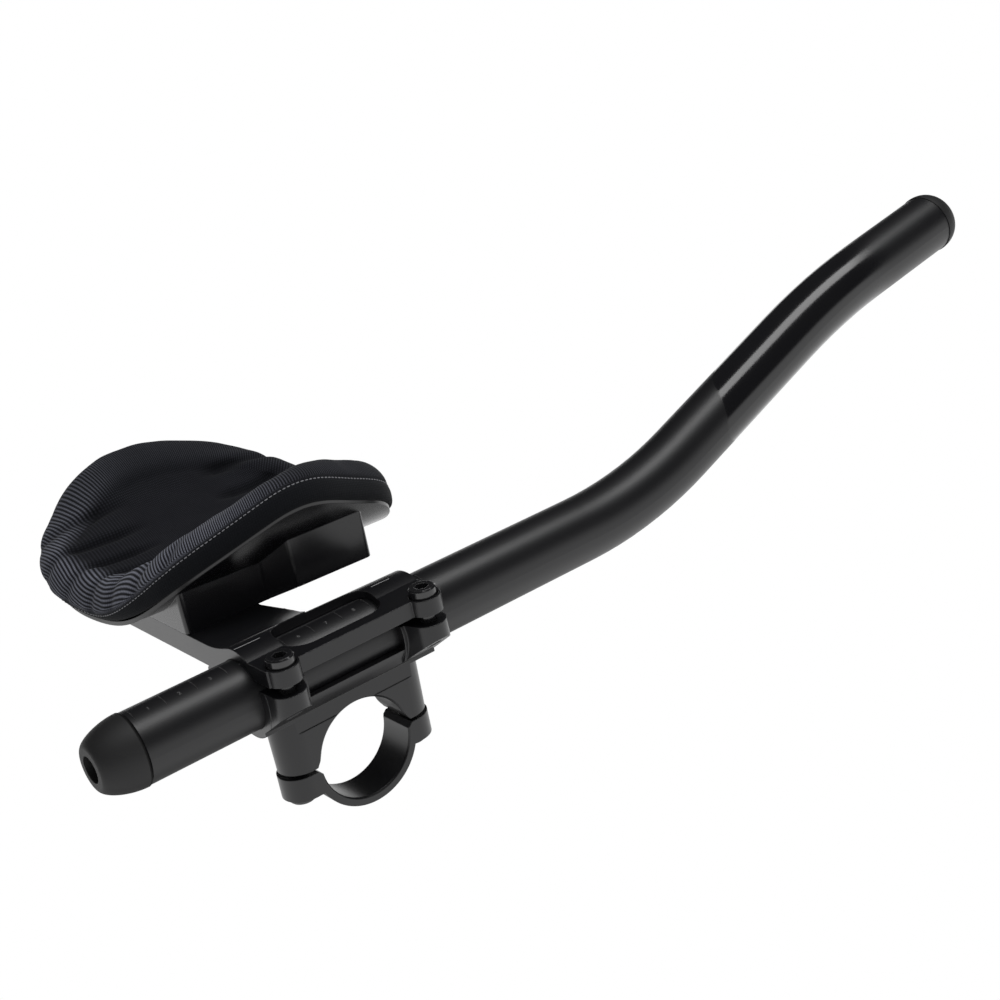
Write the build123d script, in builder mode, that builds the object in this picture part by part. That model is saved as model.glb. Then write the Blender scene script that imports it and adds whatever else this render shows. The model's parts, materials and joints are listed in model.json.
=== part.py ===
from build123d import *
from math import cos, pi, radians, sin, sqrt
import os

os.makedirs("parts", exist_ok=True)

# Left-hand aero handlebar extension with its clamp and armrest. Sizes are in mm.
# The origin is the centre of the handlebar bore. +X runs along the handlebar towards
# the middle of the bike, +Y points forwards and +Z up.

# Handlebar and extension tube
bar_radius = 15.9
tube_radius = 11.1
tube_wall = 1.6
bridge = 4.0                    # metal between the handlebar bore and the tube
slide_gap = 0.05                # radial play of the tube in its loosened clamp
tube_lift = bar_radius + bridge + tube_radius
tube_rear = 67.9                # tube behind the handlebar axis
straight_front = 100.0          # straight tube ahead of the handlebar axis
first_bend_radius = 139.3
first_bend_angle = 21.3
ramp_length = 63.1
second_bend_radius = 246.0
second_bend_angle = 10.7
tip_length = 39.9
tube_edge = 0.5

# Rubber ends
plug_length = 12.7
plug_proud = 0.25               # how far the rubber stands over the tube
plug_tip_radius = 6.2
plug_hole_radius = 4.15
plug_fullness = 0.45
stem_length = 12.0
stem_squeeze = 0.02             # play of a stem in the tube's bore
end_cap_length = 9.2
end_cap_tip_radius = 1.6
end_cap_fullness = 0.62

# Clamp body under the tube
body_width = 14.6
leg_reach = 26.4                # outer end of each leg, fore and aft
leg_taper = 1.0
split_height = 1.6              # joint face between body and band
bore_edge = 0.5                 # chamfer at both ends of the handlebar bore
corner_out = 1.4                # relief of the bore's corners at the split
corner_up = 3.4
collar_reach = 31.0             # clamp's ends, fore and aft
collar_wall = 2.9
collar_length = 13.7
trough_wall = 2.0
trough_edge = 3.6               # trough's edge below the tube's axis
flare_start = 16.0
boss_start = 21.3
boss_radius = 5.5
boss_x = 17.0
boss_y = 25.3
boss_top = 35.0
boss_height = 4.8
boss_slope_drop = 10.0

# Hook that holds the cap on the outboard side
jaw_top = 32.5
ledge_out = 3.0
ledge_height = 3.0
hook_gap = 0.25
hook_wall = 3.2
hook_toe = 2.6

# Cap over the tube, with the wing that carries the armrest
cap_wall = 3.4                  # at the rear end, where the wing joins
cap_wall_front = 2.6
flange_bottom = 38.2
flange_top = 43.4
flange_edge_x = 18.0
cap_boss_radius = 5.3
window_left = -4.6
window_right = 13.4
window_rear = -18.6
window_front = 15.6
window_corner = 7.6
wing_bottom = 35.0
wing_top = 42.6
wing_tip_x = -86.0
wing_front = -6.0
wing_tip_radius = 8.0
wing_root_rise = 5.6            # how far the front edge sweeps forward into the cap
wing_root_reach = 27.0
wing_rise_reach = 3.0

# Band under the handlebar
band_wall = 2.6
band_gap = 1.2                  # slit between the band's ears and the legs
band_corner = 1.6
ear_depth = 7.6
ear_reach = 27.0
band_bolt_y = 20.9

# Bolts, all with a hexagon socket
bolt_radius = 2.5
thread_play = 0.03
bolt_play = 0.3
head_radius = 4.25
head_height = 5.0
socket_across = 4.0
socket_depth = 2.6
cap_head_sink = 2.2
cap_bolt_length = 12.0
band_head_sink = 2.6
band_bolt_length = 16.0
thread_depth = 13.0

# Armrest cup, a valley along the forearm with an oval outline
cup_x = -59.3
cup_yaw = 3.5                   # front end turned towards the middle of the bike
cup_curve = 0.0123              # height = curve * distance from the valley squared
cup_wall = 1.5                  # measured upright
cup_rise = 2.1                  # valley's upper face above the wing
cup_half_width = 50.0
cup_half_length = 50.0
# Its outline, inboard side first and then round by the front, in half widths and half lengths
cup_outline = [(0.96, 0.0), (0.985, 0.26), (0.86, 0.61), (0.67, 0.92), (0.24, 1.03), (-0.26, 0.97),
               (-0.64, 0.77), (-0.89, 0.44), (-1.01, 0.03), (-1.0, -0.36), (-0.84, -0.73), (-0.48, -0.945),
               (-0.05, -0.87), (0.32, -0.78), (0.65, -0.61), (0.85, -0.28)]

# Pedestal moulded under the cup
pedestal_half = 31.0            # from the valley's middle to each side face
pedestal_rear = -31.0
pedestal_step = -2.5
pedestal_front = 32.0
pedestal_wall = 2.4
pedestal_inset = 1.2            # least distance from the cup's rim
front_box_half = 39.0
front_box_flare = 1.6
front_box_start = 4.5
front_box_lift = 3.1
pedestal_corner = 2.0
rib_thickness = 1.8

# Armrest screws and washers
screw_spread = 16.0             # from the valley's middle
screw_y = -18.0
screw_head_radius = 4.75
screw_head_height = 2.0
screw_length = 9.0
washer_radius = 5.2
washer_thickness = 0.8
screw_floor = 1.5               # plastic between washer and wing
screw_boss_wall = 2.2
screw_recess_play = 0.5

# Pad on hook tape
tape_thickness = 0.8
tape_width = 14.0
tape_length = 20.0
tape_u = 0.58                   # in half widths and half lengths of the cup
tape_v = 0.36
pad_band = 6.0                  # knitted side band, measured upright
pad_overhang = 1.2              # the band stands out over the cup's rim
pad_crown = 7.5                 # rounded part above it
pad_crown_inset = 5.0
pad_crown_lean = 2.5            # crown set towards the inboard side


def save(builder, label):
    # One labelled STEP file for each piece.
    builder.part.label = label
    export_step(builder.part, f"parts/{label}.step")


# Tube

bore_radius = tube_radius - tube_wall
with BuildLine(Plane.YZ) as tube_path:
    rear_run = Line((-tube_rear, tube_lift), (straight_front, tube_lift))
    rise = JernArc(rear_run @ 1, rear_run % 1, first_bend_radius, first_bend_angle)
    ramp = PolarLine(rise @ 1, ramp_length, direction=rise % 1)
    level_off = JernArc(ramp @ 1, ramp % 1, second_bend_radius, -second_bend_angle)
    tip_run = PolarLine(level_off @ 1, tip_length, direction=level_off % 1)
rear_end = Plane(origin=(0, -tube_rear, tube_lift), x_dir=(1, 0, 0), z_dir=(0, 1, 0))
tip_point = tube_path.line @ 1
tip_plane = Plane(origin=tip_point, x_dir=(1, 0, 0), z_dir=tube_path.line % 1)

with BuildPart() as extension_tube:
    with BuildSketch(rear_end):
        Circle(tube_radius)
        Circle(bore_radius, mode=Mode.SUBTRACT)
    sweep(path=tube_path.line)
    rims = extension_tube.edges().filter_by(GeomType.CIRCLE).filter_by(
        lambda rim: abs(rim.radius - tube_radius) < 0.01)
    chamfer(rims.sort_by(Axis.Y)[0], tube_edge)
save(extension_tube, "extension_tube")


def end_profile(length, tip_radius, fullness):
    # Half section of a rounded rubber end, drawn as radius against distance.
    base = tube_radius + plug_proud
    shoulder = base + (tip_radius - base) * (1 - fullness)
    Polyline((tip_radius, length), (0, length), (0, 0), (base, 0))
    Bezier((base, 0), (base, length * fullness), (shoulder, length), (tip_radius, length))


with BuildPart() as rear_end_plug:
    with BuildSketch(Plane(rear_end.origin, x_dir=(-1, 0, 0), z_dir=(0, 0, 1))):
        with BuildLine():
            end_profile(plug_length, plug_tip_radius, plug_fullness)
        make_face()
    revolve(axis=Axis((0, -tube_rear, tube_lift), (0, -1, 0)))
    with BuildSketch(rear_end):
        Circle(bore_radius - stem_squeeze)
    extrude(amount=stem_length)
    with BuildSketch(rear_end.offset(stem_length)):
        Circle(plug_hole_radius)
    extrude(amount=-(stem_length + plug_length), mode=Mode.SUBTRACT)
save(rear_end_plug, "rear_end_plug")

with BuildPart() as front_end_cap:
    with BuildSketch(Plane(tip_point, x_dir=(1, 0, 0), z_dir=-tip_plane.y_dir)):
        with BuildLine():
            end_profile(end_cap_length, end_cap_tip_radius, end_cap_fullness)
        make_face()
    revolve(axis=Axis(tip_point, tip_plane.z_dir))
    with BuildSketch(tip_plane):
        Circle(bore_radius - stem_squeeze)
    extrude(amount=-stem_length)
save(front_end_cap, "front_end_cap")

# Clamp body


def corner_relief(side, face_z, out, far_z):
    # Wedge that takes the sharp corner off the handlebar bore at the split.
    Polyline((side * bar_radius * 0.8, face_z), (side * (bar_radius + out), face_z),
             (side * sqrt(bar_radius ** 2 - far_z ** 2), far_z), (side * bar_radius * 0.8, far_z), close=True)


def bore_chamfer():
    # Cones that break both edges of the handlebar bore.
    with BuildPart() as cones:
        for side in (-1, 1):
            with BuildSketch(Plane.YZ.offset(side * (body_width / 2 - bore_edge))):
                Circle(bar_radius)
            with BuildSketch(Plane.YZ.offset(side * (body_width / 2 + 2 * bore_edge))):
                Circle(bar_radius + 3 * bore_edge)
            loft()
    return cones.part


clamp_radius = tube_radius + slide_gap
collar_radius = tube_radius + collar_wall
collar_inner = collar_reach - collar_length
jaw_x = -sqrt(collar_radius ** 2 - (jaw_top - tube_lift) ** 2)
ledge_x = -(collar_radius + ledge_out)
tube_centre = (0, tube_lift)
cross_rear = Plane.XZ.offset(collar_reach)
ends = (-1, 1)

with BuildPart() as clamp_body:
    # Column over the handlebar, round at both ends in plan
    with BuildSketch(Plane.XY.offset(split_height)):
        SlotOverall(2 * leg_reach, body_width, rotation=90)
    extrude(amount=tube_lift - split_height, taper=-leg_taper)
    # Flare up to the trough that the tube lies in
    with BuildSketch(cross_rear.offset(-(collar_reach - collar_inner))):
        with BuildLine():
            flare_x = body_width / 2
            lip_x = tube_radius + trough_wall
            lip_z = tube_lift - trough_edge
            right = Spline((flare_x, flare_start), (lip_x, lip_z), tangents=((0.1, 1), (0.35, 1)))
            left = Spline((-flare_x, flare_start), (-lip_x, lip_z), tangents=((-0.1, 1), (-0.35, 1)))
            Line(right @ 0, left @ 0)
            Line(right @ 1, left @ 1)
        make_face()
    extrude(amount=-2 * collar_inner)
    # Collars at both ends, with the inboard bolt bosses
    for side in ends:
        with BuildSketch(cross_rear.offset(-(collar_reach - side * collar_reach))):
            with Locations(tube_centre):
                Circle(collar_radius)
        extrude(amount=-side * collar_length)
        with BuildSketch(Plane.XY.offset(boss_start)):
            with BuildLine():
                CenterArc((boss_x, side * boss_y), boss_radius, 0, 360)
                Line((0, side * collar_reach), (0, side * collar_inner))
                Line((0, side * collar_reach), (collar_radius * 0.7, side * collar_reach))
                Line((0, side * collar_inner), (collar_radius * 0.7, side * collar_inner))
            make_hull()
        extrude(amount=boss_top - boss_start)
    # Sloping undersides of the bosses
    with BuildSketch(Plane.XZ):
        with BuildLine():
            boss_low = boss_top - boss_height
            outer_x = boss_x + boss_radius
            slope_x = body_width / 2
            Polyline((slope_x, boss_low - boss_slope_drop), (outer_x + 1, boss_low + 0.6),
                     (outer_x + 1, flare_start - 1), (slope_x, flare_start - 1), close=True)
        make_face()
    extrude(amount=collar_reach + 1, both=True, mode=Mode.SUBTRACT)
    # Nothing of the round collars above the bosses, nor of the column in the trough
    with BuildSketch(Plane.XY.offset(boss_top)):
        Rectangle(4 * collar_radius, 3 * collar_reach)
    extrude(amount=collar_radius, mode=Mode.SUBTRACT)
    with BuildSketch(Plane.XY.offset(lip_z)):
        with Locations((boss_x, 0)):
            Rectangle(2 * boss_x, 2 * collar_inner)
    extrude(amount=collar_radius, mode=Mode.SUBTRACT)
    # Outboard jaw with the ledge that the cap hooks under
    with BuildSketch(cross_rear):
        with BuildLine():
            ledge_low = jaw_top - ledge_height
            root_z = tube_lift - collar_radius * 0.72
            root_x = -collar_radius * 0.69
            Polyline((root_x, root_z), (-clamp_radius / 2, tube_lift), (-clamp_radius / 2, jaw_top),
                     (ledge_x, jaw_top), (ledge_x, ledge_low), (-collar_radius, ledge_low))
            ThreePointArc((-collar_radius, ledge_low),
                          (-collar_radius * 0.9, tube_lift - collar_radius * 0.436),
                          (root_x, root_z))
        make_face()
    extrude(amount=-2 * collar_reach)
    with BuildSketch(Plane.XY.offset(jaw_top)):
        with Locations((-2 * collar_radius, 0)):
            Rectangle(4 * collar_radius, 3 * collar_reach)
    extrude(amount=collar_radius, mode=Mode.SUBTRACT)
    # Bores for the handlebar and the tube
    with BuildSketch(Plane.YZ):
        Circle(bar_radius)
        for side in ends:
            with BuildLine():
                corner_relief(side, split_height, corner_out, split_height + corner_up)
            make_face()
    extrude(amount=3 * body_width, both=True, mode=Mode.SUBTRACT)
    add(bore_chamfer(), mode=Mode.SUBTRACT)
    with BuildSketch(Plane.XZ):
        with Locations(tube_centre):
            Circle(clamp_radius)
    extrude(amount=2 * collar_reach, both=True, mode=Mode.SUBTRACT)
    # Threads for the cap bolts and the band bolts
    with Locations(*[(boss_x, side * boss_y, boss_top) for side in ends]):
        Hole(bolt_radius + thread_play, depth=thread_depth)
    with Locations(Plane.XY.offset(split_height).rotated((180, 0, 0))):
        with Locations(*[(0, side * band_bolt_y) for side in ends]):
            Hole(bolt_radius + thread_play, depth=thread_depth)
save(clamp_body, "clamp_body")

# Band

ear_top = split_height - band_gap
ear_bottom = ear_top - ear_depth
with BuildPart() as handlebar_band:
    with BuildSketch(Plane.XY.offset(ear_bottom)):
        SlotOverall(2 * ear_reach, body_width, rotation=90)
    extrude(amount=ear_depth)
    with BuildSketch(Plane.YZ):
        Circle(bar_radius + band_wall)
        with Locations((0, bar_radius)):
            Rectangle(4 * bar_radius, 2 * (bar_radius - ear_top), mode=Mode.SUBTRACT)
    extrude(amount=body_width / 2, both=True)
    with BuildSketch(Plane.YZ):
        Circle(bar_radius)
        for side in ends:
            with BuildLine():
                corner_relief(side, ear_top, band_corner, ear_top - band_corner)
            make_face()
    extrude(amount=body_width, both=True, mode=Mode.SUBTRACT)
    add(bore_chamfer(), mode=Mode.SUBTRACT)
    with Locations(Plane.XY.offset(ear_bottom).rotated((180, 0, 0))):
        with Locations(*[(0, side * band_bolt_y) for side in ends]):
            CounterBoreHole(bolt_radius + bolt_play, head_radius + bolt_play, band_head_sink)
save(handlebar_band, "handlebar_band")

# Cap with the armrest wing

cap_radius = tube_radius + cap_wall
cap_radius_front = tube_radius + cap_wall_front
hook_x = ledge_x - hook_gap - hook_wall
with BuildPart() as tube_cap:
    # Arch over the tube, lower towards its front end
    for end_plane, radius in ((cross_rear, cap_radius), (cross_rear.offset(-2 * collar_reach), cap_radius_front)):
        with BuildSketch(end_plane):
            with Locations(tube_centre):
                Circle(radius)
            with Locations((0, jaw_top + hook_gap - cap_radius)):
                Rectangle(4 * cap_radius, 2 * cap_radius, mode=Mode.SUBTRACT)
    loft()
    # Inboard flange between the bolt bosses
    with BuildSketch(Plane.XY.offset(flange_bottom)):
        with Locations((flange_edge_x / 2, 0)):
            Rectangle(flange_edge_x, 2 * collar_reach)
        for side in ends:
            with Locations((boss_x, side * boss_y)):
                Circle(cap_boss_radius)
    extrude(amount=flange_top - flange_bottom)
    with BuildSketch(Plane.XY.offset(wing_bottom)):
        with Locations((collar_radius, 0)):
            Rectangle(2 * collar_radius, 3 * collar_reach)
    extrude(amount=flange_bottom - wing_bottom, mode=Mode.SUBTRACT)
    with BuildSketch(Plane.XY.offset(jaw_top)):
        with Locations((collar_radius + 2, 0)):
            Rectangle(2 * collar_radius, 3 * collar_reach)
    extrude(amount=flange_bottom - jaw_top, mode=Mode.SUBTRACT)
    # Hook round the body's outboard ledge
    with BuildSketch(cross_rear):
        with BuildLine():
            toe_top = ledge_low - hook_gap
            Polyline((-clamp_radius, jaw_top + hook_gap), (ledge_x - hook_gap, jaw_top + hook_gap),
                     (ledge_x - hook_gap, toe_top), (ledge_x + ledge_out * 0.6, toe_top),
                     (ledge_x + ledge_out * 0.3, toe_top - hook_toe), (hook_x + 1, toe_top - hook_toe),
                     (hook_x, toe_top - hook_toe + 1.5), (hook_x, wing_bottom - 1),
                     (hook_x + 3, flange_bottom - 1), (-clamp_radius + 2, flange_bottom), close=True)
        make_face()
    extrude(amount=-2 * collar_reach)
    # Wing
    with BuildSketch(Plane.XY.offset(wing_bottom)):
        with BuildLine():
            root = Spline((0, wing_front + wing_root_rise), (-wing_root_reach / 2, wing_front + wing_root_rise * 0.63),
                          (-wing_root_reach, wing_front), tangents=((-1, -0.1), (-1, -0.25)))
            Polyline(root @ 1, (wing_tip_x, wing_front), (wing_tip_x, -collar_reach), (0, -collar_reach),
                     root @ 0)
        make_face()
    extrude(amount=wing_top - wing_bottom)
    tip_edges = tube_cap.edges().filter_by(Axis.Z).group_by(Axis.X)[0]
    fillet(tip_edges, wing_tip_radius)
    # Smooth rise of the wing's upper face into the arch
    with BuildSketch(cross_rear):
        with BuildLine():
            low_x = -cap_radius - wing_rise_reach
            high_x = -cap_radius * 0.3
            high_z = tube_lift + cap_radius * 0.954
            ramp_up = Spline((low_x, wing_top), (high_x, high_z), tangents=((1, 0), (1, 0.3)))
            Polyline(ramp_up @ 1, (high_x, wing_bottom + 1), (low_x, wing_bottom + 1), ramp_up @ 0)
        make_face()
    extrude(amount=-(collar_reach + wing_front + wing_root_rise * 0.5))
    # Tube's bore and the window over its scale
    with BuildSketch(Plane.XZ):
        with Locations(tube_centre):
            Circle(clamp_radius)
    extrude(amount=2 * collar_reach, both=True, mode=Mode.SUBTRACT)
    with BuildSketch(Plane.XY.offset(tube_lift)):
        with Locations(((window_left + window_right) / 2, (window_rear + window_front) / 2)):
            RectangleRounded(window_right - window_left, window_front - window_rear, window_corner)
    extrude(amount=2 * cap_radius, mode=Mode.SUBTRACT)
    # Counterbored bolt holes, and threads for the armrest screws
    with Locations(*[(boss_x, side * boss_y, flange_top) for side in ends]):
        CounterBoreHole(bolt_radius + bolt_play, head_radius + bolt_play, cap_head_sink)
    # Threads for the armrest screws
    with Locations(*[(cup_x + side * screw_spread, screw_y, wing_top) for side in ends]):
        Hole(bolt_radius + thread_play, depth=wing_top - wing_bottom)
save(tube_cap, "tube_cap")


def socket_screw(radius, height, length, rim):
    # Head from z = 0 upwards with its socket, shank from z = 0 downwards.
    with BuildPart() as screw:
        with BuildSketch():
            Circle(radius)
        extrude(amount=height)
        chamfer(screw.edges().filter_by(GeomType.CIRCLE).sort_by(Axis.Z)[-1], rim)
        with BuildSketch(Plane.XY.offset(height)):
            RegularPolygon(socket_across / 2, 6, major_radius=False)
        extrude(amount=-min(socket_depth, height - 0.6), mode=Mode.SUBTRACT)
        with BuildSketch():
            Circle(bolt_radius)
        extrude(amount=-length)
        chamfer(screw.edges().filter_by(GeomType.CIRCLE).sort_by(Axis.Z)[0], 0.4)
    return screw


def save_placed(builder, label, placed):
    # The same piece saved at one of its places.
    part = builder.part.moved(placed)
    part.label = label
    export_step(part, f"parts/{label}.step")


# Bolts of the cap and the band

cap_bolt = socket_screw(head_radius, head_height, cap_bolt_length, 0.5)
band_bolt = socket_screw(head_radius, head_height, band_bolt_length, 0.5)
cap_seat = flange_top - cap_head_sink
band_seat = ear_bottom + band_head_sink
for side, where in ((-1, "rear"), (1, "front")):
    save_placed(cap_bolt, f"cap_bolt_{where}", Location((boss_x, side * boss_y, cap_seat)))
    save_placed(band_bolt, f"band_bolt_{where}", Location((0, side * band_bolt_y, band_seat), (180, 0, 0)))

# Armrest cup and its pedestal, one moulding

valley_z = wing_top + cup_rise
yaw = radians(cup_yaw)
across = Vector(cos(yaw), -sin(yaw), 0)
along = Vector(sin(yaw), cos(yaw), 0)
cup_plane = Plane(origin=(cup_x, 0, 0), x_dir=across, z_dir=(0, 0, 1))
section_plane = Plane(origin=(cup_x, 0, 0), x_dir=across, z_dir=-along)
half_span = cup_half_width * 1.3


def valley(height):
    # Parabola across the valley, lowest at the given height.
    rise = cup_curve * half_span ** 2
    return Bezier((-half_span, height + rise), (0, height - rise), (half_span, height + rise))


def oval(shrink=0.0, shift=0.0):
    # Rounded outline of cup and pad in plan.
    width = cup_half_width - shrink
    length = cup_half_length - shrink
    Spline(*[(u * width + shift, v * length) for u, v in cup_outline], periodic=True)


def layer(low, high, shrink=0.0, shift=0.0):
    # Sheet between two valleys, cut to the oval outline.
    with BuildPart() as sheet:
        with BuildSketch(section_plane):
            with BuildLine():
                under = valley(low)
                over = valley(high)
                Line(under @ 0, over @ 0)
                Line(under @ 1, over @ 1)
            make_face()
        extrude(amount=2 * cup_half_length, both=True)
        with BuildSketch(cup_plane):
            with BuildLine():
                oval(shrink, shift)
            make_face()
        extrude(amount=4 * half_span, mode=Mode.INTERSECT)
    return sheet


def pedestal_plan(inward):
    # Outline of the pedestal seen from above, moved in by the wall.
    narrow = pedestal_half - inward
    wide = front_box_half - inward
    Polyline((cup_x - narrow, pedestal_rear + inward), (cup_x + narrow, pedestal_rear + inward),
             (cup_x + narrow, pedestal_step - inward), (cup_x + wide, front_box_start + inward),
             (cup_x + wide + front_box_flare, pedestal_front - inward),
             (cup_x - wide + front_box_flare, pedestal_front - inward),
             (cup_x - wide, front_box_start + inward), (cup_x - narrow, pedestal_step - inward), close=True)


cup_shell = layer(valley_z - cup_wall, valley_z)
with BuildPart() as armrest_cup:
    with BuildSketch(Plane.XY.offset(wing_top)):
        with BuildLine():
            pedestal_plan(0)
        make_face()
        fillet(vertices(), pedestal_corner)
        with BuildLine():
            pedestal_plan(pedestal_wall)
        make_face(mode=Mode.SUBTRACT)
    extrude(amount=cup_half_width)
    # Ribs and screw bosses
    with BuildSketch(Plane.XY.offset(wing_top)):
        with Locations((cup_x, pedestal_step - pedestal_wall), (cup_x, (front_box_start + pedestal_front) / 2)):
            Rectangle(2 * (pedestal_half - pedestal_wall / 2), rib_thickness)
        with Locations(*[(cup_x + side * screw_spread, screw_y) for side in ends]):
            Circle(washer_radius + screw_recess_play + screw_boss_wall)
    extrude(amount=cup_half_width)
    # The front box rises clear ahead of the wing
    with BuildSketch(Plane.YZ.offset(cup_x)):
        with BuildLine():
            Polyline((pedestal_step, wing_top), (front_box_start, wing_top + front_box_lift),
                     (2 * pedestal_front, wing_top + front_box_lift), (2 * pedestal_front, wing_top - 1),
                     (pedestal_step, wing_top - 1), close=True)
        make_face()
    extrude(amount=2 * front_box_half, both=True, mode=Mode.SUBTRACT)
    # Nothing of it shows past the rim of the cup, or above the cup's underside
    with BuildSketch(cup_plane):
        with BuildLine():
            oval(pedestal_inset)
        make_face()
    extrude(amount=4 * half_span, mode=Mode.INTERSECT)
    with BuildSketch(section_plane):
        with BuildLine():
            under = valley(valley_z - cup_wall)
            Polyline(under @ 0, (-half_span, 4 * half_span), (half_span, 4 * half_span), under @ 1)
        make_face()
    extrude(amount=2 * cup_half_length, both=True, mode=Mode.SUBTRACT)
    add(cup_shell.part)
    # Recesses and holes for the screws
    with Locations(*[(cup_x + side * screw_spread, screw_y, wing_top + screw_floor) for side in ends]):
        Cylinder(washer_radius + screw_recess_play, cup_half_width, align=(Align.CENTER, Align.CENTER, Align.MIN),
                 mode=Mode.SUBTRACT)
    with Locations(*[(cup_x + side * screw_spread, screw_y, wing_top + screw_floor) for side in ends]):
        Hole(bolt_radius + bolt_play, depth=2 * screw_floor)
save(armrest_cup, "armrest_cup")

# Armrest screws and washers

with BuildPart() as washer:
    with BuildSketch():
        Circle(washer_radius)
        Circle(bolt_radius + bolt_play, mode=Mode.SUBTRACT)
    extrude(amount=washer_thickness)
armrest_screw = socket_screw(screw_head_radius, screw_head_height, screw_length, 0.6)
washer_z = wing_top + screw_floor
for side, where in ((-1, "outboard"), (1, "inboard")):
    screw_x = cup_x + side * screw_spread
    save_placed(washer, f"armrest_washer_{where}", Location((screw_x, screw_y, washer_z)))
    save_placed(armrest_screw, f"armrest_screw_{where}", Location((screw_x, screw_y, washer_z + washer_thickness)))

# Hook tape patches and the pad

tape_top = valley_z + tape_thickness
for side, lean in ((-1, "outboard"), (1, "inboard")):
    for end, where in ((-1, "rear"), (1, "front")):
        with BuildPart() as tape:
            with BuildSketch(section_plane):
                with BuildLine():
                    under = valley(valley_z)
                    over = valley(tape_top)
                    Line(under @ 0, over @ 0)
                    Line(under @ 1, over @ 1)
                make_face()
            extrude(amount=2 * cup_half_length, both=True)
            with BuildSketch(cup_plane):
                with Locations((side * tape_u * cup_half_width, end * tape_v * cup_half_length)):
                    RectangleRounded(tape_width, tape_length, 2.5)
            extrude(amount=4 * half_span, mode=Mode.INTERSECT)
        save(tape, f"hook_tape_{where}_{lean}")

band_top = tape_top + pad_band
pad_side = layer(tape_top, band_top, -pad_overhang)
pad_upper = layer(band_top, band_top + pad_crown, pad_crown_inset, pad_crown_lean)
with BuildPart() as armrest_pad:
    add(pad_side.part)
    add(pad_upper.part)
save(armrest_pad, "armrest_pad")
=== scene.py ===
import json
import math

import bpy
import numpy as np
from mathutils import Matrix, Vector, noise
from mathutils.bvhtree import BVHTree

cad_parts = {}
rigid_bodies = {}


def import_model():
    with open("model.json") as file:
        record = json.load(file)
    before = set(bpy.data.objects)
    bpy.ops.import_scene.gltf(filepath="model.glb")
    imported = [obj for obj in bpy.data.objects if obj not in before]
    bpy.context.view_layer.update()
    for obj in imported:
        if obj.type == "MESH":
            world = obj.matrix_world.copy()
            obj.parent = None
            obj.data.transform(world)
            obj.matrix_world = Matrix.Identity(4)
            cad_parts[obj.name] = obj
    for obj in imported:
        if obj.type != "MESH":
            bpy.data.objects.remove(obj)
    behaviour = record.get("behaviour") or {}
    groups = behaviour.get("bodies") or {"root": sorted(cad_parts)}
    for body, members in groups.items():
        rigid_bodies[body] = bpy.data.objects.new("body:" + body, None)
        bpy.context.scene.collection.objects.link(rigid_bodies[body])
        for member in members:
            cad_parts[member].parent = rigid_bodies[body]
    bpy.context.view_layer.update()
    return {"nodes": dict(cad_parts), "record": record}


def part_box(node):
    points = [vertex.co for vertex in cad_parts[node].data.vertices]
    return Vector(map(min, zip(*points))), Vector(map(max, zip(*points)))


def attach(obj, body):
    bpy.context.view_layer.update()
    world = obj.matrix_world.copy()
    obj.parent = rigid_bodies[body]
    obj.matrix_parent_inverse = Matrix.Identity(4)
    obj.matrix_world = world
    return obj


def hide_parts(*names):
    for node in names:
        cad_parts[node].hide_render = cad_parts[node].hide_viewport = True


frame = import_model()
nodes = frame["nodes"]
print("frame loaded")


def link(made):
    bpy.context.scene.collection.objects.link(made)
    return made


def stand(made, place, side, up, back):
    # Puts an object at a place, with its own axes along three directions
    made.matrix_world = Matrix.Translation(place) @ Matrix((side, up, back)).transposed().to_4x4()


def addMesh(name, points, faces, material):
    data = bpy.data.meshes.new(name)
    data.from_pydata([tuple(point) for point in points], [], faces)
    data.materials.append(material)
    data.shade_smooth()
    return link(bpy.data.objects.new(name, data))


def settled(made, name):
    # The evaluated mesh as a plain object, without its modifiers
    depsgraph = bpy.context.evaluated_depsgraph_get()
    data = bpy.data.meshes.new_from_object(made.evaluated_get(depsgraph), depsgraph=depsgraph)
    plain = link(bpy.data.objects.new(name, data))
    bpy.data.objects.remove(made)
    return plain


def meshTree(node):
    mesh = nodes[node].data
    return BVHTree.FromPolygons([v.co for v in mesh.vertices], [p.vertices for p in mesh.polygons])


def eased(value, low, high):
    part = np.clip((value - low) / (high - low), 0, 1)
    return part * part * (3 - 2 * part)


def blend(ends, share):
    return ends[0] + (ends[1] - ends[0]) * share


# Where the photograph was taken from, in metres and in the part's frame
photoCamera = {
    "place": (0.3995626, -0.2082985, 0.2367025),
    "right": (0.61788031, 0.76571165, -0.17863254),
    "up": (-0.17395039, 0.35468141, 0.91866335),
    "sensor": 36.0,                      # in millimetres, as is the lens
    "lens": 58.675,
    "clip": (0.01, 500.0),
}


def addCamera():
    data = bpy.data.cameras.new("photoCamera")
    data.sensor_width = photoCamera["sensor"]
    data.lens = photoCamera["lens"]
    data.clip_start, data.clip_end = photoCamera["clip"]
    right, up = Vector(photoCamera["right"]), Vector(photoCamera["up"])
    camera = link(bpy.data.objects.new("photoCamera", data))
    stand(camera, photoCamera["place"], right, up, right.cross(up))
    bpy.context.scene.camera = camera


addCamera()
print("camera placed")


# Wraps a node's output, so that shader maths reads as plain arithmetic
class Sock:
    def __init__(self, graph, socket):
        self.graph = graph
        self.socket = socket

    def __add__(self, other):
        return self.graph.math("ADD", self, other)

    def __radd__(self, other):
        return self.graph.math("ADD", other, self)

    def __sub__(self, other):
        return self.graph.math("SUBTRACT", self, other)

    def __rsub__(self, other):
        return self.graph.math("SUBTRACT", other, self)

    def __mul__(self, other):
        return self.graph.math("MULTIPLY", self, other)


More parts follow.
